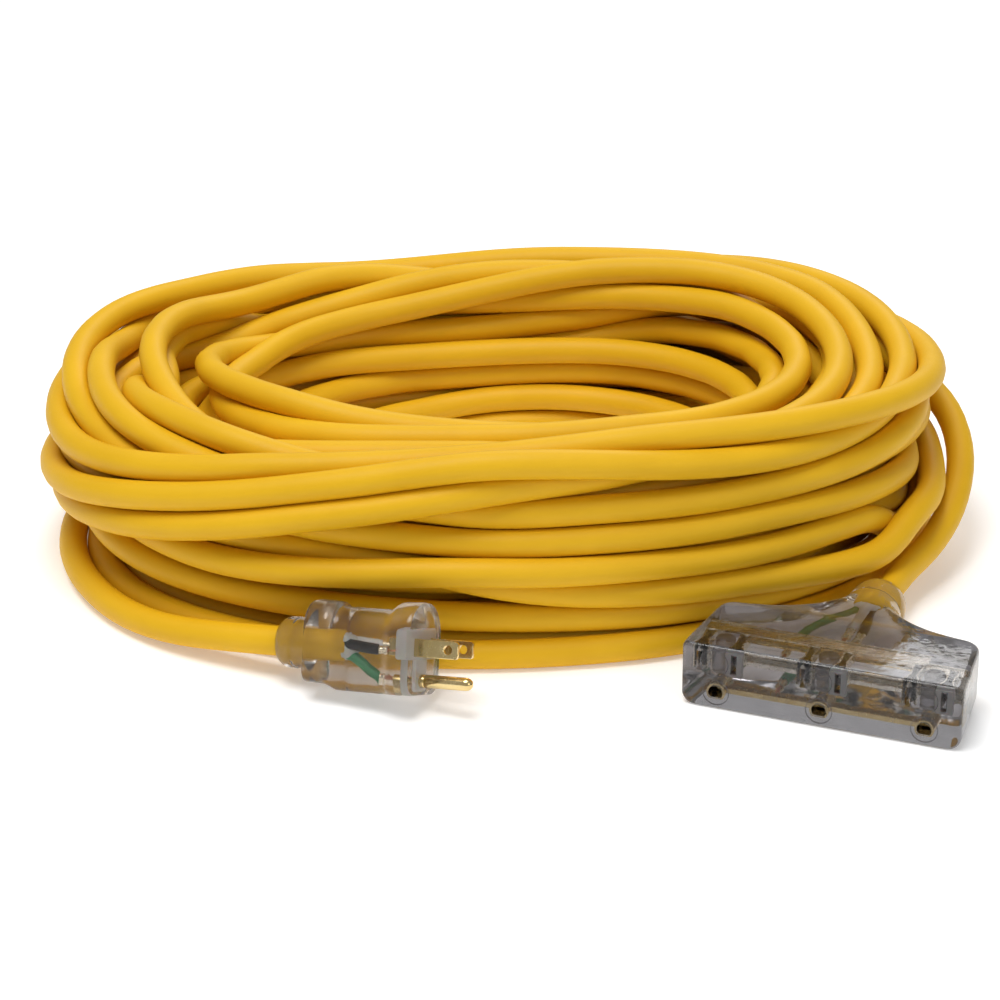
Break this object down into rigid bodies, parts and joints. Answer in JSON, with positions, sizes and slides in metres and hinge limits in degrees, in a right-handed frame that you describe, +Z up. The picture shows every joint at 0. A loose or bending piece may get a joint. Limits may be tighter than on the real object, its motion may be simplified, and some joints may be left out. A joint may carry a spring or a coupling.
{
  "type": "extension cord",
  "caption": "Heavy-duty yellow outdoor extension cord in a loose hand-wound coil, with a clear moulded grounded plug and a clear moulded outlet block.",
  "frame": {"origin": "centre of the cord's coil, on the surface that everything lies on", "axes": "+X along the coil's longer axis, +Y away from the plug and the outlet block, +Z up"},
  "size_m": [0.3639, 0.3086, 0.084],
  "materials": {
    "cord_jacket": "satin yellow vinyl",
    "clear_moulding": "clear moulded vinyl",
    "frosted_insert": "frosted plastic",
    "black_insulation": "smooth",
    "white_insulation": "smooth",
    "green_insulation": "smooth",
    "lamp_glass": "clear",
    "resistor": "matte",
    "brass": "stamped, bright"
  },
  "bodies": {
    "root": {"connector_body": "clear_moulding", "connector_collar": "clear_moulding", "connector_ground_crimp": "brass", "connector_ground_wire": "green_insulation", "connector_hot_crimp": "brass", "connector_hot_wire": "black_insulation", "connector_jacket_end": "cord_jacket", "connector_neutral_crimp": "brass", "connector_neutral_wire": "white_insulation", "cord_coil": "cord_jacket", "cord_tail_connector": "cord_jacket", "cord_tail_plug": "cord_jacket", "ground_bus": "brass", "hot_bus": "brass", "hot_shroud_left": "frosted_insert", "hot_shroud_middle": "frosted_insert", "hot_shroud_right": "frosted_insert", "indicator_lamp": "lamp_glass", "lamp_lead": "brass", "lamp_resistor": "resistor", "neutral_bus": "brass", "outlet_dome_left": "frosted_insert", "outlet_dome_middle": "frosted_insert", "outlet_dome_right": "frosted_insert", "plug_blade_carrier": "frosted_insert", "plug_body": "clear_moulding", "plug_collar": "clear_moulding", "plug_ground_crimp": "brass", "plug_ground_pin": "brass", "plug_ground_wire": "green_insulation", "plug_hot_blade": "brass", "plug_hot_crimp": "brass", "plug_hot_wire": "black_insulation", "plug_jacket_end": "cord_jacket", "plug_neutral_blade": "brass", "plug_neutral_crimp": "brass", "plug_neutral_wire": "white_insulation"}
  },
  "joints": []
}
